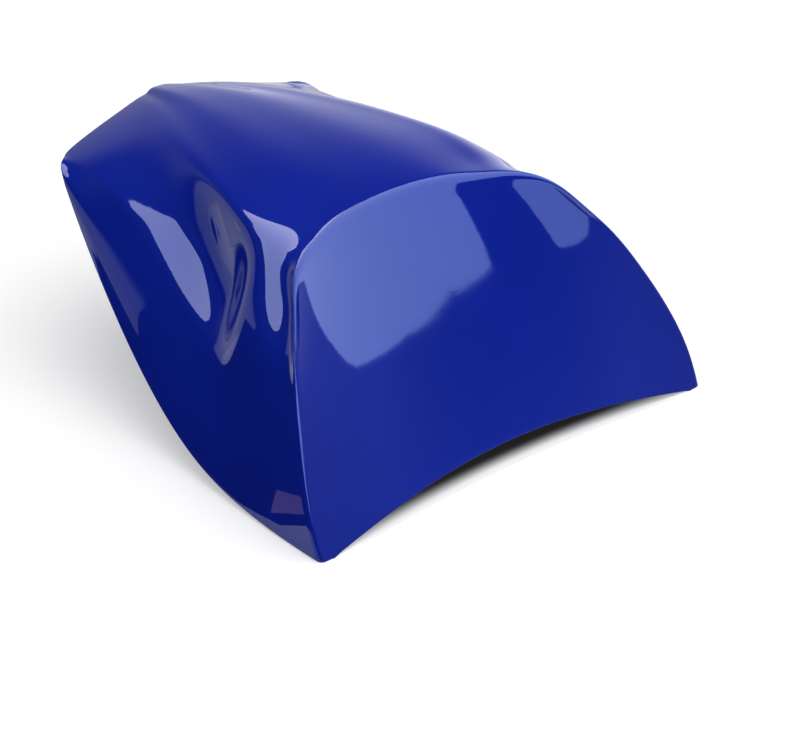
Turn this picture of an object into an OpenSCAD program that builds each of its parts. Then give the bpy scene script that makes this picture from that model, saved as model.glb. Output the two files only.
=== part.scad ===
// Seat cowl for a motorbike: one thin moulded shell, open underneath.
// Frame: X across the bike, Y from the backrest face to the tail, Z up.
// The origin is midway between the four screw bosses, level with their lower faces.
// Sizes below that are measured from the front or the floor count from the two front corners.
// The skin is a net of smooth cross-sections. Each runs from the centre line out over the deck,
// down the wall under the ridge, across the scoop and shoulder, and down the flank to the edge.
// A leaning, dished face cuts the sections at the front, and the cut is the crease around it.

/* [Overall size] */
// width over the two front corners, on the floor
front_width = 260; // [240:1:280]
// length from the front corners to the middle of the tail
body_length = 287; // [272:1:302]
// thickness of the moulded wall
wall = 3; // [2:0.1:3.5]

/* [Lower edge] */
// width over the lower edges where the tail ends
tail_width = 150; // [135:1:165]
// how late the sides draw in, 1 is a straight taper
side_taper = 2.1; // [1.8:0.05:2.6]
// angle at which the lower edge climbs towards the tail
edge_rise_angle = 33.8; // [30:0.1:36]
// distance from the front at which the edge climbs
edge_rise_start = 109; // [98:1:120]
// length over which the edge bends from level to climbing
edge_rise_bend = 25; // [15:1:35]
// how far the tail corners lie ahead of the middle of the tail
tail_sweep = 35; // [15:1:45]

/* [Deck] */
// height of the deck at its highest station
deck_height = 123.7; // [118:0.1:131]
// distance of that station from the front
deck_peak = 203; // [192:1:215]
// fall of the deck forward to the front station
deck_fall_front = 26.9; // [20:0.1:36]
// fall of the deck back to the tail
deck_fall_rear = 10.3; // [5:0.1:16]
// extra height of the centre line over the ridges
deck_crown = 2.4; // [0:0.1:4]
// half width of the deck at the front station
ridge_front = 92.7; // [88:0.1:98]
// half width of the deck at the tail
ridge_rear = 12.7; // [10:0.1:22]
// how late the deck draws in
ridge_taper = 1.76; // [1.6:0.02:1.9]
// rounding of the ridge at the front
ridge_round_front = 30; // [22:0.5:34]
// rounding of the ridge along the deck
ridge_round = 8.5; // [7:0.1:12]
// rounding of the ridge at the tail
ridge_round_rear = 11.8; // [9:0.1:18]

/* [Flank] */
// height of the shoulder over the lower edge
shoulder_height = 48.2; // [44:0.1:52]
// extra height of the shoulder behind the face
shoulder_lift_front = 15.7; // [11:0.1:19]
// how far the shoulder lies inside the lower edge
shoulder_inset = 16.4; // [12:0.1:20]
// extra inset of the shoulder behind the face
shoulder_inset_front = 7.8; // [4:0.1:11]
// distance from the front where that lift and inset begin to fade
front_fade_start = 50; // [44:1:56]
// distance from the front where they are gone
front_fade_end = 100; // [92:1:108]
// extra inset of the shoulder halfway back
waist_depth = 6; // [2:0.1:9]
// distance of the waist from the front
waist_centre = 150; // [140:1:160]
// half length of the waist
waist_length = 59; // [48:1:70]
// loss of shoulder height at the tail
tail_lip_drop = 21.8; // [17:0.1:25]
// swell of the wall between ridge and shoulder behind the face
flank_swell = 3.9; // [0:0.1:7]
// outward bow of the flank between shoulder and edge
flank_bow = 3.6; // [1:0.1:5]

/* [Scoop] */
// depth of the scoop below the ridge
scoop_depth = 12; // [7:0.5:13]
// distance from the front where the scoop starts
scoop_start = 90; // [84:1:98]
// distance from the front where the scoop is at its full depth
scoop_full = 126; // [118:1:134]
// distance behind that over which the scoop runs out
scoop_run_out = 41; // [34:1:50]

/* [Hollow behind the face] */
// depth of the hollow
hollow_depth = 7; // [3:0.5:9]
// distance of its deepest line behind the crease
hollow_reach = 12; // [10:0.5:16]
// its place on the section, 0 on the centre line and 1 on the edge
hollow_place = 0.445; // [0.43:0.005:0.5]
// its spread on the section
hollow_spread = 0.155; // [0.14:0.005:0.2]
// angle below level at which it presses in
hollow_angle = 15; // [5:1:30]

/* [Face] */
// lean of the face from upright, on the centre line
face_lean_centre = 38.8; // [36:0.1:41]
// lean of the face from upright, at the corners
face_lean_side = 23.3; // [20:0.1:27]
// width of the arch under the face
arch_width = 244; // [236:1:248]
// height of the arch in its middle
arch_rise = 12.2; // [6:0.1:18]
// rounding of the crease around the face
crease_round = 4; // [3.5:0.1:4.5]

/* [Screw bosses] */
// distance between the bosses across the cowl
boss_spacing_across = 64; // [50:1:70]
// distance between the front and rear bosses
boss_spacing_along = 70; // [60:1:76]
// distance of the front bosses from the front
boss_front = 135; // [128:1:142]
// height of the bosses' lower faces over the floor
boss_base = 92; // [84:1:100]
// outside diameter of a boss
boss_diameter = 12; // [10:0.5:14]
// diameter of the screw hole
screw_hole = 4.2; // [3:0.1:5.5]
// depth of the screw hole
screw_depth = 18; // [12:0.5:20]

/* [Hidden] */
// cells across half of the skin
across = 27;
// cells along the face
face_rows = 5;
// rows between face and body that round the crease
crease_rows = 3;
// cells along the body
body_rows = 26;
// rows of the body lie closer behind the crease
row_gather = 1.25;
// half widths over the lower edges, at the front and at the tail
half_front = front_width / 2;
half_tail = tail_width / 2;
// stations over which the front's soft form passes into the form along the deck
form_start = 60;
form_end = 151;
// stations over which the tail's form begins
tail_start = 150;
tail_end = 250;
// how the shoulder's inset and the tail's sweep gather, 1 is even
inset_power = 0.8;
sweep_power = 2.5;
// share of the way from ridge to shoulder at which the wall bends into the scoop
dip_share = 0.632;
// shares along the wall and along the flank that set how tightly the shoulder turns
shoulder_above = 0.1;
shoulder_below = 0.05;
// share of the way down the flank at which it bows most
bow_share = 0.62;
// share of the deck's half width that the flat middle takes
deck_flat = 0.45;
// narrowest share of the half width and of the wall that the ridge rounding leaves
ridge_least = 0.6;
round_most = 0.45;
// how late the deck falls towards the tail
tail_fall_power = 2.4;
// share of the arch's spread that follows the crease's own length
arch_follow = 0.6;
// share of the half width from which the inner side is measured level at the lower edge
level_edge = 0.86;
// stations over which that passes into measuring square to the skin
level_start = 70;
level_end = 150;
// least level share of the outward direction that this measuring reckons with
level_least = 0.5;
paint = [0.01, 0.05, 0.5];

// quintic ease from 0 at a to 1 at b
function ease(a, b, v) = let (t = max(0, min(1, (v - a) / (b - a)))) t * t * t * (t * (6 * t - 15) + 10);

// height of the lower edge at station y: a level run that bends into a straight climb
function ramp(y) = edge_rise_bend * ln(1 + exp((y - edge_rise_start) / edge_rise_bend));
function edge_height(y) = tan(edge_rise_angle) * (ramp(y) - ramp(0));

// height of the deck at station y
function deck(y) = let (d = y - deck_peak)
    d < 0 ? deck_height - deck_fall_front * pow(d / deck_peak, 2)
          : deck_height - deck_fall_rear * pow(d / (body_length - deck_peak), tail_fall_power);

// half width of the deck at station y
function ridge_x(y) = ridge_front - (ridge_front - ridge_rear) * pow(y / body_length, ridge_taper);

// share of the front's own form left at station y, for the shoulder
function front_share(y) = 1 - ease(front_fade_start, front_fade_end, y);

// height of the shoulder over the lower edge, and its inset from that edge, at station y
function shoulder_up(y) = let (late = max(0, min(1, (y - tail_start) / (body_length - tail_start))))
    shoulder_height * (1 - late * late) - tail_lip_drop * pow(y / body_length, 4)
    + shoulder_lift_front * front_share(y);
function shoulder_in(y) =
    shoulder_inset * pow(sin(180 * pow(max(0, 1 - y / body_length), inset_power)), inset_power)
    + waist_depth * exp(-pow((y - waist_centre) / waist_length, 2))
    + shoulder_inset_front * front_share(y);

// depth of the scoop at station y: a short onset, an even floor and a long run out
function scoop(y) = let (d = max(0, y - scoop_full) / scoop_run_out)
    scoop_depth * ease(scoop_start, scoop_full, y) * exp(-pow(d, 3));

// control points [x, z] of the half cross-section at station y, centre line to lower edge
function section_points(y) = let (
    edge = [half_front - (half_front - half_tail) * pow(y / body_length, side_taper), edge_height(y)],
    k = deck(y),
    r = ridge_x(y),
    ridge = [r, k],
    shoulder = edge + [-shoulder_in(y), shoulder_up(y)],
    front = 1 - ease(form_start, form_end, y),
    slope = (shoulder - ridge) / norm(shoulder - ridge),
    outward = [-slope[1], slope[0]],
    dip = ridge + (shoulder - ridge) * dip_share + outward * (flank_swell * front - scoop(y)),
    round = ridge_round + (ridge_round_rear - ridge_round) * ease(tail_start, tail_end, y)
        + (ridge_round_front - ridge_round) * front,
    upper = ridge + (dip - ridge) * min(round / norm(dip - ridge), round_most),
    middle = shoulder + (edge - shoulder) * bow_share + [flank_bow, 0]
) [
    [-deck_flat * r, k + deck_crown],
    [0, k + deck_crown],
    [deck_flat * r, k + deck_crown],
    [max(r - round, ridge_least * r), k],
    ridge,
    upper,
    dip,
    shoulder + (dip - shoulder) * shoulder_above,
    shoulder + (edge - shoulder) * shoulder_below,
    middle,
    edge,
    2 * edge - middle
];

// spline point [x, z] of the section at station y, u from 0 on the centre line to 1 on the edge
function smooth_section(u, y) = let (
    c = section_points(y),
    spans = len(c) - 3,
    i = min(spans - 1, floor(u * spans)),
    f = u * spans - i
) (pow(1 - f, 3) * c[i] + (3 * pow(f, 3) - 6 * f * f + 4) * c[i + 1]
    + (3 * f + 3 * f * f - 3 * pow(f, 3) + 1) * c[i + 2] + pow(f, 3) * c[i + 3]) / 6;

// the same point pressed in by the hollow behind the face
function section(u, y) = let (
    p = smooth_section(u, y),
    d = max(0, y - face_y(p)) / hollow_reach,
    press = hollow_depth * d * exp((1 - d * d) / 2) * exp(-pow((u - hollow_place) / hollow_spread, 2))
) p - press * [cos(hollow_angle), sin(hollow_angle)];

// height of the skin over the floor at x on the deck, at station y, looked up on its section
function skin_height(x, y) = lookup(x, [for (u = [0:0.02:0.6]) section(u, y)]);

// distance of the face from the front at [x, z]
function face_y(p) = p[1] * (tan(face_lean_centre)
    - (tan(face_lean_centre) - tan(face_lean_side)) * pow(p[0] / half_front, 2));

// station at which section line u meets the face
function crease_y(u, y = form_start, left = 30) =
    left == 0 ? y : crease_y(u, (y + face_y(section(u, y))) / 2, left - 1);

crease = [for (i = [0:across]) let (u = i / across, y = crease_y(u), p = section(u, y)) [p[0], y, p[1]]];

// length of the crease from the centre line to each of its points, seen from the front
crease_run = [for (i = 0, s = 0; i <= across;
    s = s + (i < across ? norm([crease[i + 1][0] - crease[i][0], crease[i + 1][2] - crease[i][2]]) : 0),
    i = i + 1) s];

// half width on the arch that belongs to crease point i
function arch_x(i) = arch_width / 2 * (arch_follow * crease_run[i] / crease_run[across]
    + (1 - arch_follow) * crease[i][0] / crease[across][0]);

// point of the face, t from 0 on the arch to 1 on the crease
function face_point(i, t) = let (
    a = arch_x(i),
    low = [a, arch_rise * (1 - pow(2 * a / arch_width, 2))],
    p = low + ([crease[i][0], crease[i][2]] - low) * t
) [p[0], face_y(p), p[1]];

// distance of the tail's edge from the front on section line i
function tail_y(i) = body_length - tail_sweep * pow(i / across, sweep_power);

// point of the body, t from 0 on the crease to 1 at the tail
function body_point(i, t) = let (
    u = i / across,
    y = crease[i][1] + (tail_y(i) - crease[i][1]) * t,
    p = section(u, y)
) [p[0], y, p[1]];

// share of line i that the crease rounding takes on the face and on the body
function face_cut(i) = crease_round / norm(face_point(i, 1) - face_point(i, 0));
function body_cut(i) = crease_round / (tail_y(i) - crease[i][1]);

// point in row j of half column i: face rows, then the rounded crease, then body rows
function skin_point(i, j) =
    j <= face_rows ? face_point(i, (1 - face_cut(i)) * j / face_rows)
    : j >= face_rows + crease_rows + 1
        ? let (t = pow((j - face_rows - crease_rows - 1) / body_rows, row_gather))
            body_point(i, body_cut(i) + (1 - body_cut(i)) * t)
        : let (t = (j - face_rows) / (crease_rows + 1))
            pow(1 - t, 2) * face_point(i, 1 - face_cut(i)) + 2 * t * (1 - t) * face_point(i, 1)
            + t * t * body_point(i, body_cut(i));

rows = face_rows + crease_rows + body_rows + 2;
columns = 2 * across + 1;
half_skin = [for (j = [0:rows - 1]) [for (i = [0:across]) skin_point(i, j)]];
skin = [for (row = half_skin) [for (c = [-across:across])
    c < 0 ? [-row[-c][0], row[-c][1], row[-c][2]] : row[c]]];

// outward unit direction of the skin at row j, column c
function outward(j, c) = let (
    a = skin[j][min(columns - 1, c + 1)] - skin[j][max(0, c - 1)],
    b = skin[min(rows - 1, j + 1)][c] - skin[max(0, j - 1)][c],
    n = cross(a, b)
) n / norm(n);

// inner point: one wall inside the skin, measured level along the arch and the front of the edges
function inner_point(j, c) = let (
    p = skin[j][c],
    n = outward(j, c),
    flat = norm([n[0], n[1]]),
    near_arch = pow(max(0, 1 - j / face_rows), 2),
    near_edge = ease(level_edge, 1, abs(c - across) / across) * (1 - ease(level_start, level_end, p[1])),
    share = 1 - (1 - near_arch) * (1 - near_edge),
    level = [n[0], n[1], 0] / pow(max(flat, level_least), 2)
) p - wall * ((1 - share) * n + share * level);

outer = [for (j = [0:rows - 1]) for (c = [0:columns - 1]) skin[j][c]];
inner = [for (j = [0:rows - 1]) for (c = [0:columns - 1]) inner_point(j, c)];

// number of the corner at row j, column c, on the outer (0) or inner (1) side
function corner(j, c, side) = side * rows * columns + j * columns + c;

// two triangles over four corners taken clockwise from outside
function cell(a, b, c, d, flip) = flip ? [[a, b, d], [b, c, d]] : [[a, b, c], [a, c, d]];

skin_cells = [for (j = [0:rows - 2]) for (c = [0:columns - 2])
    for (tri = cell(corner(j, c, 0), corner(j + 1, c, 0), corner(j + 1, c + 1, 0),
        corner(j, c + 1, 0), c < across)) tri];
inner_cells = [for (j = [0:rows - 2]) for (c = [0:columns - 2])
    for (tri = cell(corner(j, c + 1, 1), corner(j + 1, c + 1, 1), corner(j + 1, c, 1),
        corner(j, c, 1), c < across)) tri];

// corners around the open border of the skin, as [row, column]
border = concat(
    [for (c = [0:columns - 2]) [0, c]],
    [for (j = [0:rows - 2]) [j, columns - 1]],
    [for (c = [columns - 1:-1:1]) [rows - 1, c]],
    [for (j = [rows - 1:-1:1]) [j, 0]]
);
rim_cells = [for (k = [0:len(border) - 1]) let (a = border[k], b = border[(k + 1) % len(border)])
    for (tri = cell(corner(a[0], a[1], 0), corner(b[0], b[1], 0),
        corner(b[0], b[1], 1), corner(a[0], a[1], 1), false)) tri];

// places a hole on the lower face of each boss
module at_bosses() {
    for (side = [-1, 1])
        for (y = [boss_front, boss_front + boss_spacing_along])
            translate([side * boss_spacing_across / 2, y, boss_base])
                children();
}

// four bosses, each from its lower face up to the middle of the deck's wall
module bosses() {
    for (side = [-1, 1])
        for (y = [boss_front, boss_front + boss_spacing_along])
            translate([side * boss_spacing_across / 2, y, boss_base])
                cylinder(h = skin_height(boss_spacing_across / 2, y) - wall / 2 - boss_base,
                    d = boss_diameter, $fn = 48);
}

// a blind screw hole in a boss
module boss_hole() {
    translate([0, 0, -1])
        cylinder(h = screw_depth + 1, d = screw_hole, $fn = 32);
}

// the moulded cowl with its four screw bosses, moved so that the bosses' centre is the origin
module cowl_shell() {
    color(paint)
        translate([0, -boss_front - boss_spacing_along / 2, -boss_base])
            difference() {
                union() {
                    polyhedron(points = concat(outer, inner),
                        faces = concat(skin_cells, inner_cells, rim_cells));
                    bosses();
                }
                at_bosses() boss_hole();
            }
}

cowl_shell();
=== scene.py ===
"""Seat cowl for a motorbike in blue gloss paint, dressed over its CAD frame.

The row frame is used throughout, in metres: X across the bike, Y from the backrest face to the
tail, Z up, with the origin between the four screw bosses and level with their lower faces.
Sizes in SIZES are the CAD part's own named sizes, in millimetres from the two front corners.
"""
import math

import bpy
import numpy as np
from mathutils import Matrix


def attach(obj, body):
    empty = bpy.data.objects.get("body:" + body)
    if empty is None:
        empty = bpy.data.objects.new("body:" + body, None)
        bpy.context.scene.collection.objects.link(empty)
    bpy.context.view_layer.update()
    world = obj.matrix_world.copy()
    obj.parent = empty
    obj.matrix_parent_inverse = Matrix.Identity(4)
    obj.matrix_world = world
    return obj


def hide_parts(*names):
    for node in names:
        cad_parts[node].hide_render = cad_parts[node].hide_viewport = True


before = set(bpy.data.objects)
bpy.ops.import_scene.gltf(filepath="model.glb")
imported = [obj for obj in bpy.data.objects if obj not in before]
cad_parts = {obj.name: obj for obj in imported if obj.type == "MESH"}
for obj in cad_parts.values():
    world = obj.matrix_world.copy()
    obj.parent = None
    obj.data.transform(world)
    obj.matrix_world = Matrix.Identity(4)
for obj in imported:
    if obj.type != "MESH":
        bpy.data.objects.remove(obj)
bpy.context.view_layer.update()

SIZES = dict(
    front_width=260.0, body_length=287.0, wall=3.0,
    tail_width=150.0, side_taper=2.1, edge_rise_angle=33.8, edge_rise_start=109.0,
    edge_rise_bend=25.0, tail_sweep=35.0,
    deck_height=123.7, deck_peak=203.0, deck_fall_front=26.9, deck_fall_rear=10.3, deck_crown=2.4,
    ridge_front=92.7, ridge_rear=12.7, ridge_taper=1.76,
    ridge_round_front=30.0, ridge_round=8.5, ridge_round_rear=11.8,
    shoulder_height=48.2, shoulder_lift_front=15.7, shoulder_inset=16.4, shoulder_inset_front=7.8,
    front_fade_start=50.0, front_fade_end=100.0, waist_depth=6.0, waist_centre=150.0,
    waist_length=59.0, tail_lip_drop=21.8, flank_swell=3.9, flank_bow=3.6,
    scoop_depth=12.0, scoop_start=90.0, scoop_full=126.0, scoop_run_out=41.0,
    hollow_depth=7.0, hollow_reach=12.0, hollow_place=0.445, hollow_spread=0.155, hollow_angle=15.0,
    face_lean_centre=38.8, face_lean_side=23.3, arch_width=244.0, arch_rise=12.2, crease_round=4.0,
    boss_spacing_across=64.0, boss_spacing_along=70.0, boss_front=135.0, boss_base=92.0,
    boss_diameter=12.0, screw_hole=4.2, screw_depth=18.0,
    row_gather=1.25, form_start=60.0, form_end=151.0, tail_start=150.0, tail_end=250.0,
    dip_share=0.632, shoulder_above=0.1, shoulder_below=0.05, bow_share=0.62, deck_flat=0.45,
    ridge_least=0.6, round_most=0.45, tail_fall_power=2.4, arch_follow=0.6,
    level_edge=0.86, level_start=70.0, level_end=150.0,
    inset_power=0.8, sweep_power=2.5, level_least=0.5,
)
S = type("Sizes", (), SIZES)
# cells of the skin across one half, along the face, the crease and the body
ACROSS, FACE_ROWS, CREASE_ROWS, BODY_ROWS = 112, 36, 7, 104
# spans of the cross-section's spline
SPANS = 9
# rounding of the rim, and chamfers of a boss and of its hole, in millimetres
RIM_ROUND, BOSS_CHAMFER, HOLE_CHAMFER = 0.9, 0.5, 0.4
# from the sizes' own origin at the front corners to the row frame's, in millimetres
SHIFT = np.array([0.0, -S.boss_front - S.boss_spacing_along / 2, -S.boss_base])
# height of the floor, and radius of the studio wall and distance of its softboxes, in metres
FLOOR = -S.boss_base / 1000
DOME_RADIUS, SOFTBOX_DISTANCE = 6.0, 5.0
# the paper's diffuse tone, and how far it is lifted to white where it is seen
PAPER_TONE, PAPER_LIFT = 0.64, 0.43
# the painted shadow under the arch: half width, lead ahead of the foot, run over which it darkens, and
# depth
PAINTED_SHADOW_HALF, PAINTED_SHADOW_LEAD, PAINTED_SHADOW_RUN, PAINTED_SHADOW_DEPTH = 0.121, 0.002, 0.013, 0.034
# radiance of black card, and the tints of the softboxes' cloths
BLACK = 0.02
COOL, WARM = (0.72, 0.82, 1.0), (1.0, 0.93, 0.9)
# the camera: place in millimetres from the front corners, turn to the right and tilt down in
# degrees, and focal length in millimetres
CAMERA_AT, CAMERA_TURN, CAMERA_DOWN, CAMERA_LENS = (-839.9, -848.0, 702.5), 41.842, 28.385, 126.0


def ease(a, b, v):
    """Quintic ease: 0 up to a, 1 from b on, 6t^5 - 15t^4 + 10t^3 between."""
    t = np.clip((v - a) / (b - a), 0.0, 1.0)
    return t ** 3 * (t * (6 * t - 15) + 10)


def tan(degrees):
    """Tangent of an angle in degrees."""
    return math.tan(math.radians(degrees))


def edge_height(y):
    """Height of the lower edge at station y: level, then bending into a straight climb (softplus)."""
    def ramp(v):
        return S.edge_rise_bend * np.log1p(np.exp((v - S.edge_rise_start) / S.edge_rise_bend))
    return tan(S.edge_rise_angle) * (ramp(y) - ramp(0.0))


def deck(y):
    """Height of the deck at station y: a parabola ahead of the peak, a steeper power curve behind it."""
    d = y - S.deck_peak
    ahead = S.deck_fall_front * (d / S.deck_peak) ** 2
    behind = S.deck_fall_rear * (np.abs(d) / (S.body_length - S.deck_peak)) ** S.tail_fall_power
    return S.deck_height - np.where(d < 0, ahead, behind)


def shoulder_offset(y):
    """Inset and height of the shoulder from the lower edge at station y: a sine-shaped inset with a
    waist, a height that falls to the tail, and both raised behind the face."""
    q = y / S.body_length
    front = 1 - ease(S.front_fade_start, S.front_fade_end, y)
    late = np.clip((y - S.tail_start) / (S.body_length - S.tail_start), 0, 1)
    up = (S.shoulder_height * (1 - late ** 2) - S.tail_lip_drop * q ** 4
          + S.shoulder_lift_front * front)
    inset = (S.shoulder_inset
             * np.sin(np.pi * np.maximum(0, 1 - q) ** S.inset_power) ** S.inset_power
             + S.waist_depth * np.exp(-((y - S.waist_centre) / S.waist_length) ** 2)
             + S.shoulder_inset_front * front)
    return np.stack([-inset, up], -1)


def scoop(y):
    """Depth of the scoop at station y: a short quintic onset, then exp(-d^3) behind its full depth."""
    d = np.maximum(0, y - S.scoop_full) / S.scoop_run_out
    return S.scoop_depth * ease(S.scoop_start, S.scoop_full, y) * np.exp(-d ** 3)


def section_points(y):
    """Twelve control points [x, z] of the half cross-section at each station y, from the centre
    line over the ridge, the scooped wall and the shoulder down to the lower edge."""
    q = y / S.body_length
    half_front, half_tail = S.front_width / 2, S.tail_width / 2
    edge = np.stack([half_front - (half_front - half_tail) * q ** S.side_taper, edge_height(y)], -1)
    k = deck(y)
    r = S.ridge_front - (S.ridge_front - S.ridge_rear) * q ** S.ridge_taper
    ridge = np.stack([r, k], -1)
    shoulder = edge + shoulder_offset(y)
    front = 1 - ease(S.form_start, S.form_end, y)
    slope = shoulder - ridge
    slope = slope / np.linalg.norm(slope, axis=-1, keepdims=True)
    outward = np.stack([-slope[..., 1], slope[..., 0]], -1)
    dip = (ridge + (shoulder - ridge) * S.dip_share
           + outward * (S.flank_swell * front - scoop(y))[..., None])
    rounding = (S.ridge_round + (S.ridge_round_rear - S.ridge_round) * ease(S.tail_start, S.tail_end, y)
                + (S.ridge_round_front - S.ridge_round) * front)
    run = np.linalg.norm(dip - ridge, axis=-1)
    upper = ridge + (dip - ridge) * np.minimum(rounding / run, S.round_most)[..., None]
    middle = shoulder + (edge - shoulder) * S.bow_share + np.array([S.flank_bow, 0.0])
    return np.stack([
        np.stack([-S.deck_flat * r, k + S.deck_crown], -1),
        np.stack([0 * r, k + S.deck_crown], -1),
        np.stack([S.deck_flat * r, k + S.deck_crown], -1),
        np.stack([np.maximum(r - rounding, S.ridge_least * r), k], -1),
        ridge, upper, dip,
        shoulder + (dip - shoulder) * S.shoulder_above,
        shoulder + (edge - shoulder) * S.shoulder_below,
        middle, edge, 2 * edge - middle], -2)


def section(u, y):
    """Point [x, z] of the cross-section at station y, u from 0 on the centre line to 1 on the lower
    edge: a uniform cubic B-spline over its control points, pressed in behind the face by
    depth * d * exp((1 - d^2) / 2) * exp(-((u - place) / spread)^2), d the distance behind the crease
    over the hollow's reach."""
    c = section_points(y)
    i = np.clip(np.floor(u * SPANS).astype(int), 0, SPANS - 1)
    f = u * SPANS - i
    weights = [(1 - f) ** 3, 3 * f ** 3 - 6 * f ** 2 + 4, 3 * f + 3 * f ** 2 - 3 * f ** 3 + 1, f ** 3]
    points = [np.take_along_axis(c, (i + k)[..., None, None], -2)[..., 0, :] for k in range(4)]
    p = sum(w[..., None] * q for w, q in zip(weights, points)) / 6
    d = np.maximum(0, y - face_y(p[..., 0], p[..., 1])) / S.hollow_reach
    press = (S.hollow_depth * d * np.exp((1 - d * d) / 2)
             * np.exp(-((u - S.hollow_place) / S.hollow_spread) ** 2))
    way = math.radians(S.hollow_angle)
    return p - press[..., None] * np.array([math.cos(way), math.sin(way)])


def face_y(x, z):
    """Distance of the face from the front at [x, z]: it leans back, less towards the corners."""
    lean, side = tan(S.face_lean_centre), tan(S.face_lean_side)
    return z * (lean - (lean - side) * (x / (S.front_width / 2)) ** 2)


def place(p, y):
    """Joins section points [x, z] and stations y to points [x, y, z]."""
    return np.stack([p[..., 0], y + 0 * p[..., 0], p[..., 1]], -1)


def outer_skin():
    """Grid of the painted skin, rows from the arch over the face, the rounded crease and the body
    to the tail, columns from the left edge to the right. Face rows run straight from the arch to
    the crease, crease rows follow a quadratic curve, body rows follow section lines to the tail."""
    u = np.linspace(0, 1, ACROSS + 1)
    y = np.full_like(u, S.form_start)
    for _ in range(40):
        p = section(u, y)
        y = (y + face_y(p[:, 0], p[:, 1])) / 2
    p = section(u, y)
    crease = place(p, y)
    run = np.concatenate([[0], np.cumsum(np.hypot(np.diff(p[:, 0]), np.diff(p[:, 1])))])
    arch_x = S.arch_width / 2 * (S.arch_follow * run / run[-1]
                                 + (1 - S.arch_follow) * p[:, 0] / p[-1, 0])
    arch = np.stack([arch_x, S.arch_rise * (1 - (2 * arch_x / S.arch_width) ** 2)], -1)
    back = S.body_length - S.tail_sweep * u ** S.sweep_power

    def face(t):
        q = arch + (p - arch) * t[..., None]
        return place(q, face_y(q[..., 0], q[..., 1]))

    def body(t):
        station = y + (back - y) * t
        return place(section(np.broadcast_to(u, station.shape), station), station)

    face_cut = S.crease_round / np.linalg.norm(face(np.ones_like(u)) - face(np.zeros_like(u)), axis=-1)
    body_cut = S.crease_round / (back - y)
    face_part = face(np.linspace(0, 1, FACE_ROWS + 1)[:, None] * (1 - face_cut))
    gathered = np.linspace(0, 1, BODY_ROWS + 1)[:, None] ** S.row_gather
    body_part = body(body_cut + (1 - body_cut) * gathered)
    t = np.linspace(0, 1, CREASE_ROWS + 2)[1:-1, None, None]
    crease_part = (1 - t) ** 2 * face_part[-1] + 2 * t * (1 - t) * crease + t ** 2 * body_part[0]
    half = np.concatenate([face_part, crease_part, body_part])
    left = half[:, ::-1] * np.array([-1.0, 1.0, 1.0])
    return np.concatenate([left[:, :-1], half], 1)


def inner_skin(skin):
    """The moulded inside: one wall under the skin along its normal, measured level near the arch
    and near the front of the lower edges."""
    along = np.gradient(skin, axis=1)
    down = np.gradient(skin, axis=0)
    normal = np.cross(along, down)
    normal /= np.linalg.norm(normal, axis=-1, keepdims=True)
    row = np.arange(skin.shape[0])[:, None] / FACE_ROWS
    column = np.abs(np.arange(skin.shape[1]) - ACROSS)[None, :] / ACROSS
    near_arch = np.maximum(0, 1 - row) ** 2
    near_edge = ease(S.level_edge, 1, column) * (1 - ease(S.level_start, S.level_end, skin[..., 1]))
    share = (1 - (1 - near_arch) * (1 - near_edge))[..., None]
    flat = np.maximum(np.hypot(normal[..., 0], normal[..., 1]), S.level_least)[..., None]
    level = normal * np.array([1.0, 1.0, 0.0]) / flat ** 2
    return skin - S.wall * ((1 - share) * normal + share * level)


def border_numbers(rows, columns):
    """Grid numbers along the open border, once round, and of each one's neighbour further in."""
    j = np.concatenate([np.zeros(columns - 1, int), np.arange(rows - 1),
                        np.full(columns - 1, rows - 1), np.arange(rows - 1, 0, -1)])
    c = np.concatenate([np.arange(columns - 1), np.full(rows - 1, columns - 1),
                        np.arange(columns - 1, 0, -1), np.zeros(rows - 1, int)])
    inside = np.clip(j, 1, rows - 2) * columns + np.clip(c, 1, columns - 2)
    return j * columns + c, inside


def shell_mesh():
    """Closed shell: outer grid, inner grid, and a rim of rounded corners that joins their borders.
    Each border is drawn back by the rounding, and the rim follows a quadratic curve round the
    outer corner, a straight land and a quadratic curve round the inner corner."""
    outer = outer_skin()
    inner = inner_skin(outer)
    rows, columns = outer.shape[:2]
    a, b = outer.reshape(-1, 3).copy(), inner.reshape(-1, 3).copy()
    ring, inside = border_numbers(rows, columns)
    corner_out, corner_in = a[ring].copy(), b[ring].copy()

    def drawn_back(points):
        way = points[inside] - points[ring]
        return points[ring] + way / np.linalg.norm(way, axis=-1, keepdims=True) * RIM_ROUND

    start, end = drawn_back(a), drawn_back(b)
    across = corner_in - corner_out
    across /= np.linalg.norm(across, axis=-1, keepdims=True)
    land = [corner_out + across * RIM_ROUND, corner_in - across * RIM_ROUND]
    t = np.linspace(0, 1, 6)[1:, None, None]
    first = (1 - t) ** 2 * start + 2 * t * (1 - t) * corner_out + t ** 2 * land[0]
    last = (1 - t) ** 2 * land[1] + 2 * t * (1 - t) * corner_in + t ** 2 * end
    loops = np.concatenate([first, land[1][None], last[:-1]])
    a[ring], b[ring] = start, end
    n, m = len(a), len(ring)
    points = np.concatenate([a, b, loops.reshape(-1, 3)])
    grid = np.arange(n).reshape(rows, columns)
    quads_out = np.stack([grid[:-1, :-1], grid[:-1, 1:], grid[1:, 1:], grid[1:, :-1]], -1).reshape(-1, 4)
    quads_in = quads_out[:, ::-1] + n
    between = 2 * n + np.arange(len(loops) * m).reshape(len(loops), m)
    lines = np.concatenate([ring[None], between, ring[None] + n])
    following = np.roll(lines, -1, axis=1)
    quads_rim = np.stack([lines[:-1], lines[1:], following[1:], following[:-1]], -1).reshape(-1, 4)
    inside_share = np.concatenate([
        np.zeros(n), np.ones(n), np.repeat(np.linspace(0.1, 0.9, len(loops)), m)])
    return points, np.concatenate([quads_out, quads_in, quads_rim]), inside_share


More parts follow.
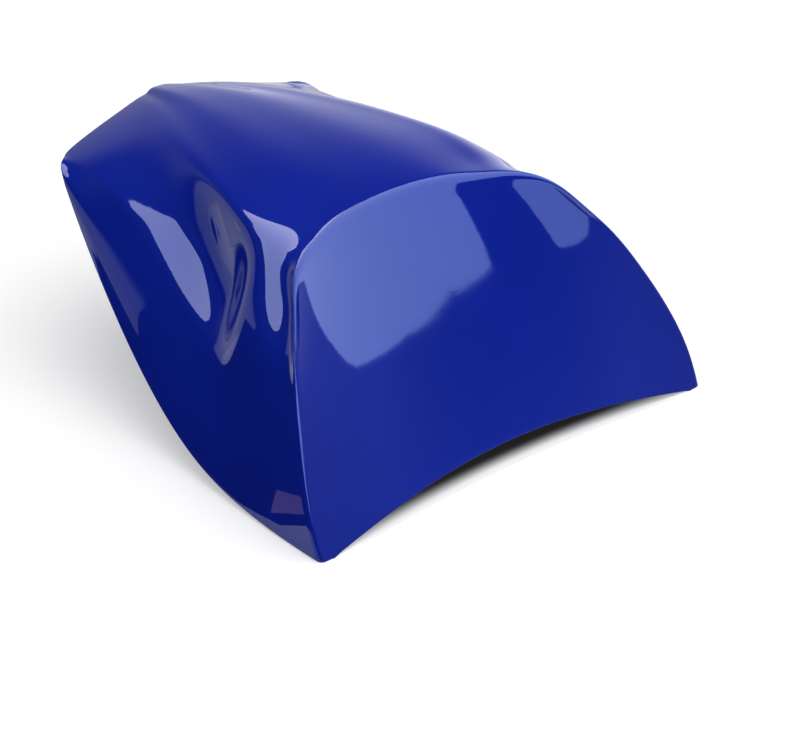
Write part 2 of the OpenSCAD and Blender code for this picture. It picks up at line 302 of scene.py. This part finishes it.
def turned(profile, centre, steps=64):
    """A profile of [radius, z] turned about the upright line through centre, as points and quads.
    The first and last profile points lie on that line and close the form."""
    angle = np.linspace(0, 2 * np.pi, steps, endpoint=False)
    ring = np.stack([np.cos(angle), np.sin(angle), 0 * angle], -1)
    body = profile[1:-1]
    points = body[:, None, :1] * ring[None] + np.array([0, 0, 1.0]) * body[:, None, 1:]
    points = np.concatenate([points.reshape(-1, 3), [[0, 0, profile[0][1]], [0, 0, profile[-1][1]]]])
    line = np.arange(len(body) * steps).reshape(len(body), steps)
    beside = np.roll(line, -1, axis=1)
    quads = np.stack([line[:-1], beside[:-1], beside[1:], line[1:]], -1).reshape(-1, 4)
    first, last = len(points) - 2, len(points) - 1
    caps = np.concatenate([
        np.stack([np.full(steps, first), beside[0], line[0]], -1),
        np.stack([np.full(steps, last), line[-1], beside[-1]], -1)])
    return points + centre, quads, caps


def boss_forms():
    """Four round bosses with a small chamfer below, a blind hole, and an end hidden in the wall."""
    forms = []
    r, h, c, lead = S.boss_diameter / 2, S.screw_hole / 2, BOSS_CHAMFER, HOLE_CHAMFER
    for side in (-1, 1):
        for y in (S.boss_front, S.boss_front + S.boss_spacing_along):
            u = np.linspace(0, 0.6, 31)
            over = section(u, np.full_like(u, y))
            skin = float(np.interp(S.boss_spacing_across / 2, over[:, 0], over[:, 1]))
            top = skin - S.wall / 2 - S.boss_base
            profile = np.array([
                [0, S.screw_depth], [h, S.screw_depth], [h, lead], [h + lead, 0.0], [r - c, 0.0],
                [r, c], [r, top], [0, top]])
            forms.append(turned(profile, np.array([side * S.boss_spacing_across / 2, y, S.boss_base])))
    return forms


def make_mesh(name, points, faces):
    """A mesh object from points in metres and faces given as lists of corner numbers."""
    mesh = bpy.data.meshes.new(name)
    mesh.from_pydata(points, [], faces)
    mesh.update()
    piece = bpy.data.objects.new(name, mesh)
    bpy.context.scene.collection.objects.link(piece)
    return piece


def make_cowl():
    """The painted shell with its bosses, one mesh, smooth but for the bosses' sharp edges."""
    points, quads, inside = shell_mesh()
    faces = quads.tolist()
    for boss_points, boss_quads, boss_caps in boss_forms():
        faces += (boss_quads + len(points)).tolist() + (boss_caps + len(points)).tolist()
        points = np.concatenate([points, boss_points])
        inside = np.concatenate([inside, np.ones(len(boss_points))])
    cowl = make_mesh("painted_cowl", (points + SHIFT) / 1000, faces)
    mesh = cowl.data
    mesh.polygons.foreach_set("use_smooth", np.ones(len(mesh.polygons), bool))
    mesh.set_sharp_from_angle(angle=math.radians(35))
    layer = mesh.attributes.new("moulded_inside", "FLOAT", "POINT")
    layer.data.foreach_set("value", inside.astype(np.float32))
    return cowl


def node_tree(name):
    """A new node material with its nodes cleared but for the output."""
    material = bpy.data.materials.new(name)
    material.use_nodes = True
    tree = material.node_tree
    tree.nodes.clear()
    output = tree.nodes.new("ShaderNodeOutputMaterial")
    return material, tree, output


def link(tree, source, target):
    """Joins two sockets."""
    tree.links.new(source, target)


def blue_gloss():
    """Deep royal blue solid paint: a slight cloud in its depth, a faint orange peel, and a duller
    skin on the moulded inside."""
    material, tree, output = node_tree("blue_gloss_paint")
    new = tree.nodes.new
    shader = new("ShaderNodeBsdfPrincipled")
    shader.inputs["Metallic"].default_value = 0.0
    shader.inputs["IOR"].default_value = 1.5
    shader.inputs["Specular IOR Level"].default_value = 0.5
    shader.inputs["Specular Tint"].default_value = (0.5, 0.62, 1.0, 1.0)
    place_in = new("ShaderNodeTexCoord")
    cloud = new("ShaderNodeTexNoise")
    cloud.inputs["Scale"].default_value = 14.0
    cloud.inputs["Detail"].default_value = 3.0
    ramp = new("ShaderNodeValToRGB")
    ramp.color_ramp.elements[0].color = (0.0025, 0.013, 0.27, 1)
    ramp.color_ramp.elements[1].color = (0.0035, 0.016, 0.31, 1)
    ramp.color_ramp.elements[0].position = 0.3
    ramp.color_ramp.elements[1].position = 0.7
    peel = new("ShaderNodeTexNoise")
    peel.inputs["Scale"].default_value = 420.0
    peel.inputs["Detail"].default_value = 2.0
    bump = new("ShaderNodeBump")
    bump.inputs["Strength"].default_value = 0.05
    bump.inputs["Distance"].default_value = 0.00006
    inside = new("ShaderNodeAttribute")
    inside.attribute_name = "moulded_inside"
    dull = new("ShaderNodeMapRange")
    dull.inputs["To Min"].default_value = 0.035
    dull.inputs["To Max"].default_value = 0.42
    link(tree, place_in.outputs["Object"], cloud.inputs["Vector"])
    link(tree, place_in.outputs["Object"], peel.inputs["Vector"])
    link(tree, cloud.outputs["Fac"], ramp.inputs["Fac"])
    link(tree, ramp.outputs["Color"], shader.inputs["Base Color"])
    link(tree, peel.outputs["Fac"], bump.inputs["Height"])
    link(tree, bump.outputs["Normal"], shader.inputs["Normal"])
    link(tree, inside.outputs["Fac"], dull.inputs["Value"])
    link(tree, dull.outputs["Result"], shader.inputs["Roughness"])
    link(tree, shader.outputs["BSDF"], output.inputs["Surface"])
    return material


def shown_rays(tree):
    """1 on camera, mirror and glass rays, 0 on the rays that light things."""
    path = tree.nodes.new("ShaderNodeLightPath")
    total = tree.nodes.new("ShaderNodeMath")
    total.operation = "ADD"
    total.use_clamp = True
    both = tree.nodes.new("ShaderNodeMath")
    both.operation = "ADD"
    both.use_clamp = True
    link(tree, path.outputs["Is Camera Ray"], total.inputs[0])
    link(tree, path.outputs["Is Glossy Ray"], total.inputs[1])
    link(tree, total.outputs[0], both.inputs[0])
    link(tree, path.outputs["Is Transmission Ray"], both.inputs[1])
    return both.outputs[0]


def floor_paper(name):
    """White paper: a pale diffuse sheet that is lifted to white where it is seen, and keeps shadows.
    On a sheet with the painted-shadow attribute the paper darkens with it: painted shade."""
    material, tree, output = node_tree(name)
    # painted shadow: this attribute darkens both the paper's tone and its lift
    painted_shadow = tree.nodes.new("ShaderNodeAttribute")
    painted_shadow.attribute_name = "painted_shadow"
    kept = tree.nodes.new("ShaderNodeMapRange")
    kept.inputs["To Min"].default_value = 1.0
    kept.inputs["To Max"].default_value = 0.03
    link(tree, painted_shadow.outputs["Fac"], kept.inputs["Value"])
    shade = tree.nodes.new("ShaderNodeVectorMath")
    shade.operation = "SCALE"
    shade.inputs[0].default_value = (PAPER_TONE, PAPER_TONE, PAPER_TONE)
    link(tree, kept.outputs["Result"], shade.inputs["Scale"])
    sheet = tree.nodes.new("ShaderNodeBsdfDiffuse")
    link(tree, shade.outputs["Vector"], sheet.inputs["Color"])
    lift = tree.nodes.new("ShaderNodeEmission")
    lift.inputs["Color"].default_value = (1, 1, 1, 1)
    share = tree.nodes.new("ShaderNodeMath")
    share.operation = "MULTIPLY"
    share.inputs[1].default_value = PAPER_LIFT
    left = tree.nodes.new("ShaderNodeMath")
    left.operation = "MULTIPLY"
    both = tree.nodes.new("ShaderNodeAddShader")
    link(tree, shown_rays(tree), share.inputs[0])
    link(tree, share.outputs[0], left.inputs[0])
    link(tree, kept.outputs["Result"], left.inputs[1])
    link(tree, left.outputs[0], lift.inputs["Strength"])
    link(tree, sheet.outputs["BSDF"], both.inputs[0])
    link(tree, lift.outputs["Emission"], both.inputs[1])
    link(tree, both.outputs["Shader"], output.inputs["Surface"])
    return material


def studio_dome():
    """Studio wall, seen by the paint alone. To the right and back right it is white paper that falls
    off to a dim room at 42 degrees over the floor. Straight behind it is grey below 40 degrees. To the
    back left it is a grey strip below 15 degrees and dark above, and all else is dim."""
    material, tree, output = node_tree("studio_dome")
    new = tree.nodes.new
    where = new("ShaderNodeTexCoord")
    parts = new("ShaderNodeSeparateXYZ")
    link(tree, where.outputs["Object"], parts.inputs["Vector"])

    def falling(low, high, bright, dim):
        rise = new("ShaderNodeMapRange")
        rise.interpolation_type = "SMOOTHSTEP"
        rise.inputs["From Min"].default_value = DOME_RADIUS * math.sin(math.radians(low))
        rise.inputs["From Max"].default_value = DOME_RADIUS * math.sin(math.radians(high))
        rise.inputs["To Min"].default_value = bright
        rise.inputs["To Max"].default_value = dim
        link(tree, parts.outputs["Z"], rise.inputs["Value"])
        return rise.outputs["Result"]

    def toward(azimuth, far, near):
        """0 at the angle far from an azimuth and 1 at the angle near it, on the wall's plan."""
        plan = new("ShaderNodeVectorMath")
        plan.operation = "DOT_PRODUCT"
        turn = math.radians(azimuth)
        plan.inputs[1].default_value = (math.sin(turn), -math.cos(turn), 0.0)
        link(tree, where.outputs["Object"], plan.inputs[0])
        share = new("ShaderNodeMapRange")
        share.interpolation_type = "SMOOTHSTEP"
        share.inputs["From Min"].default_value = math.cos(math.radians(far)) * DOME_RADIUS
        share.inputs["From Max"].default_value = math.cos(math.radians(near)) * DOME_RADIUS
        link(tree, plan.outputs["Value"], share.inputs["Value"])
        return share.outputs["Result"]

    def blend(share, first, second):
        mix = new("ShaderNodeMix")
        link(tree, share, mix.inputs["Factor"])
        link(tree, first, mix.inputs["A"])
        link(tree, second, mix.inputs["B"])
        return mix.outputs["Result"]

    level = blend(toward(108, 46, 14), falling(20, 36, 0.4, 0.08), falling(20, 42, 2.3, 0.04))
    level = blend(toward(186, 24, 10), level, falling(24, 40, 0.6, 0.08))
    level = blend(toward(225, 42, 22), level, falling(12, 17, 0.75, 0.02))
    glow = new("ShaderNodeEmission")
    link(tree, level, glow.inputs["Strength"])
    link(tree, glow.outputs["Emission"], output.inputs["Surface"])
    return material


def glow(name, strength, colour):
    """Plain even light of a softbox's cloth."""
    material, tree, output = node_tree(name)
    cloth = tree.nodes.new("ShaderNodeEmission")
    cloth.inputs["Color"].default_value = (*colour, 1)
    cloth.inputs["Strength"].default_value = strength
    link(tree, cloth.outputs["Emission"], output.inputs["Surface"])
    return material


def make_stage():
    """Round paper floor and a dome wall over it, both centred under the cowl."""
    angle = np.linspace(0, 2 * np.pi, 96, endpoint=False)
    ring = np.stack([np.cos(angle), np.sin(angle)], -1)
    rim = np.concatenate([ring * DOME_RADIUS, np.full((96, 1), FLOOR)], 1)
    floor = make_mesh("studio_floor", rim, [list(range(96))])
    floor.data.materials.append(floor_paper("floor_paper"))
    lat = np.radians(np.linspace(0, 86, 24))
    shell = np.stack([
        np.cos(lat)[:, None] * ring[None, :, 0] * DOME_RADIUS,
        np.cos(lat)[:, None] * ring[None, :, 1] * DOME_RADIUS,
        np.broadcast_to(np.sin(lat)[:, None] * DOME_RADIUS, (24, 96)) + FLOOR], -1)
    number = np.arange(24 * 96).reshape(24, 96)
    beside = np.roll(number, -1, axis=1)
    quads = np.stack([number[:-1], number[1:], beside[1:], beside[:-1]], -1).reshape(-1, 4)
    dome = make_mesh("studio_dome", shell.reshape(-1, 3), quads.tolist() + [number[-1, ::-1].tolist()])
    dome.data.materials.append(studio_dome())
    return [floor, paint_only(dome)]


def make_painted_shadow():
    """A painted shadow under the cowl, seen through the arch: a thin sheet of darkened floor paper where
    the cowl's shade falls. Its front follows the foot of the arch, y = front + rise * tan(lean) * (1 -
    (2x / width)^2), and it grows dark from there on."""
    x = np.linspace(-PAINTED_SHADOW_HALF, PAINTED_SHADOW_HALF, 61)[None, :]
    back = np.concatenate([np.linspace(0.0, PAINTED_SHADOW_RUN, 13), [(PAINTED_SHADOW_RUN + PAINTED_SHADOW_DEPTH) / 2, PAINTED_SHADOW_DEPTH]])
    back = back[:, None]
    foot = tan(S.face_lean_centre) * S.arch_rise * (1 - (2000 * x / S.arch_width) ** 2)
    y = (SHIFT[1] + foot) / 1000 + back - PAINTED_SHADOW_LEAD
    number = np.arange(y.size).reshape(y.shape)
    quads = np.stack([number[:-1, :-1], number[:-1, 1:], number[1:, 1:], number[1:, :-1]], -1)
    points = np.stack([np.broadcast_to(x, y.shape), y, np.full(y.shape, FLOOR + 0.0003)], -1)
    painted_shadow = make_mesh("painted_shadow", points.reshape(-1, 3), quads.reshape(-1, 4).tolist())
    layer = painted_shadow.data.attributes.new("painted_shadow", "FLOAT", "POINT")
    dark = ease(0.0, PAINTED_SHADOW_RUN, np.broadcast_to(back, y.shape)).reshape(-1)
    layer.data.foreach_set("value", dark.astype(np.float32))
    painted_shadow.data.materials.append(floor_paper("painted_shadow"))
    return painted_shadow


def make_softbox(name, lower, upper, centre, strength, colour):
    """A softbox seen from the point centre between a lower and an upper outline, each a line of
    (azimuth, elevation) pairs in degrees, azimuth 0 ahead of the face and growing to the right.
    It shows in the paint and lights nothing."""
    lower, upper = np.array(lower, float).T, np.array(upper, float).T
    azimuth = np.linspace(lower[0][0], lower[0][-1], 49)
    t = np.linspace(0, 1, 7)[:, None]
    rise = (1 - t) * np.interp(azimuth, *lower) + t * np.interp(azimuth, *upper)
    a, e = np.radians(np.broadcast_to(azimuth, rise.shape)), np.radians(rise)
    way = np.stack([np.sin(a) * np.cos(e), -np.cos(a) * np.cos(e), np.sin(e)], -1)
    number = np.arange(rise.size).reshape(rise.shape)
    quads = np.stack([number[:-1, :-1], number[:-1, 1:], number[1:, 1:], number[1:, :-1]], -1)
    box = make_mesh(name, (way * SOFTBOX_DISTANCE).reshape(-1, 3) + np.array(centre),
                    quads.reshape(-1, 4).tolist())
    box.data.materials.append(glow(name + "_cloth", strength, colour))
    return paint_only(box)


def paint_only(piece):
    """Lets a studio piece show in glossy reflections and nowhere else."""
    for kind in ("visible_camera", "visible_diffuse", "visible_shadow", "visible_transmission"):
        setattr(piece, kind, False)
    return piece


def make_card(name, corners, height, shade, colour=(1, 1, 1)):
    """A card lying just over the floor, given by its corners (x, y) in metres. It glows at a set level
    and shows in the paint alone: a painted reflection of the surroundings."""
    points = [(x, y, FLOOR + height) for x, y in corners]
    card = make_mesh(name, points, [list(range(len(points)))])
    card.data.materials.append(glow(name + "_reflection_glow", shade, colour))
    return paint_only(card)


def make_standing_card(name, x, corners, shade):
    """A card standing across X, given by its corners (y, z) in metres. It glows at a set level and shows
    in the paint alone: a painted reflection.
    """
    card = make_mesh(name, [(x, y, z) for y, z in corners], [list(range(len(corners)))])
    card.data.materials.append(glow(name + "_reflection_glow", shade, (1, 1, 1)))
    return paint_only(card)


def make_lamp(name, place_at, size, power):
    """A square soft lamp that looks at the cowl. It isn't seen in the paint."""
    data = bpy.data.lights.new(name, "AREA")
    data.shape = "SQUARE"
    data.size = size
    data.energy = power
    lamp = bpy.data.objects.new(name, data)
    bpy.context.scene.collection.objects.link(lamp)
    lamp.location = place_at
    way = np.array([0.0, -0.03, -0.02]) - np.array(place_at)
    lamp.rotation_euler = look_along(way)
    lamp.visible_glossy = False
    lamp.visible_camera = False
    return lamp


def look_along(way):
    """Turn that points an object's -Z along a direction, with its Y up."""
    from mathutils import Vector
    return Vector(way).to_track_quat("-Z", "Y").to_euler()


def make_camera():
    """Camera at the photograph's viewing angle: a long lens from the front left, looking down."""
    data = bpy.data.cameras.new("camera")
    data.lens = CAMERA_LENS
    data.sensor_width = 36.0
    data.clip_end = 40
    camera = bpy.data.objects.new("camera", data)
    bpy.context.scene.collection.objects.link(camera)
    turn, down = math.radians(CAMERA_TURN), math.radians(CAMERA_DOWN)
    camera.location = (np.array(CAMERA_AT) + SHIFT) / 1000
    camera.rotation_euler = (math.pi / 2 - down, 0, -turn)
    bpy.context.scene.camera = camera


cowl = make_cowl()
cowl.data.materials.append(blue_gloss())
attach(cowl, "root")
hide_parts("cowl_shell")

stage = make_stage()
# painted shadow on the floor under the arch
stage.append(make_painted_shadow())
stage.append(make_softbox(
    "softbox_right",
    [(31, 38), (34, 35.2), (40, 34.3), (45, 33), (49, 30.5), (52.5, 27.5), (55.5, 23), (58, 19),
     (61, 17), (66, 14), (70, 12.5), (80, 12), (100, 30), (122, 47)],
    [(31, 46), (45, 60), (64, 70), (90, 76), (122, 72)], (-0.01, -0.10, 0.0), 4.9, COOL))
stage.append(make_softbox(
    "softbox_front", [(-10, 27), (4, 28), (10, 28.5), (14, 30), (18, 32)],
    [(-10, 46), (13, 46), (14, 36), (16, 34), (18, 32.5)], (0.08, -0.11, 0.0), 4.0, COOL))
stage.append(make_softbox(
    "softbox_back",
    [(122, 44), (140, 46), (160, 48), (188, 54), (204, 48), (213, 45.5), (217, 44), (226, 43),
     (232, 42), (240, 39), (256, 38)],
    [(122, 66), (160, 76), (200, 78), (256, 70)], (-0.08, -0.03, 0.01), 6.4, WARM))
stage.append(make_softbox(
    "softbox_camera", [(-96, 4), (-60, 2), (-18, 4)], [(-96, 56), (-60, 64), (-18, 56)],
    (-0.12, -0.13, -0.02), 7.0, COOL))
# cards that glow at set levels: painted reflections of the floor and room, seen only in the paint
stage.append(make_card(
    "left_card", [(-0.136, -0.130), (-0.131, -0.10), (-0.131, 0.0), (-0.15, 0.10), (-0.21, 0.20),
                  (-0.31, 0.42), (-0.42, 0.52), (-0.62, 0.80), (-2.4, 2.2), (-3.0, -0.6),
                  (-0.5, -0.3)], 0.0015, BLACK))
stage.append(make_standing_card(
    "side_card", -0.32, [(-0.8, -0.09), (0.235, -0.09), (0.205, -0.04), (0.165, 0.04), (0.157, 0.08),
                         (-0.8, 0.08)], BLACK))
stage.append(make_standing_card(
    "near_card", -0.15, [(-0.07, -0.0895), (0.030, -0.0895), (0.030, -0.03), (0.026, -0.004),
                         (-0.02, 0.004), (-0.035, 0.022), (-0.13, 0.022), (-0.13, -0.055),
                         (-0.07, -0.055)], BLACK))
stage.append(make_card(
    "grey_card", [(-0.02, 0.135), (-0.10, 0.135), (-0.16, 0.24), (-0.30, 0.55), (-0.75, 1.1),
                  (-0.6, 3.0), (1.5, 3.0), (0.6, 0.5), (0.12, 0.135)], 0.0018, 0.7))
stage.append(make_card(
    "rose_card", [(-0.139, -0.117), (-0.168, -0.079), (-0.177, -0.088), (-0.157, -0.122)],
    0.0025, 0.7, (1.0, 0.62, 0.7)))
stage.append(make_card(
    "front_card", [(-1.6, -0.176), (-1.6, -3.0), (3.2, -3.0), (3.2, -0.176)], 0.0015, 0.10))
make_lamp("main_lamp", (0.42, -0.62, 2.3), 3.8, 92)
make_camera()

world = bpy.data.worlds.new("room")
world.use_nodes = True
world.node_tree.nodes["Background"].inputs["Color"].default_value = (1, 1, 1, 1)
world.node_tree.nodes["Background"].inputs["Strength"].default_value = 0.25
scene = bpy.context.scene
scene.world = world
scene.view_settings.view_transform = "Standard"
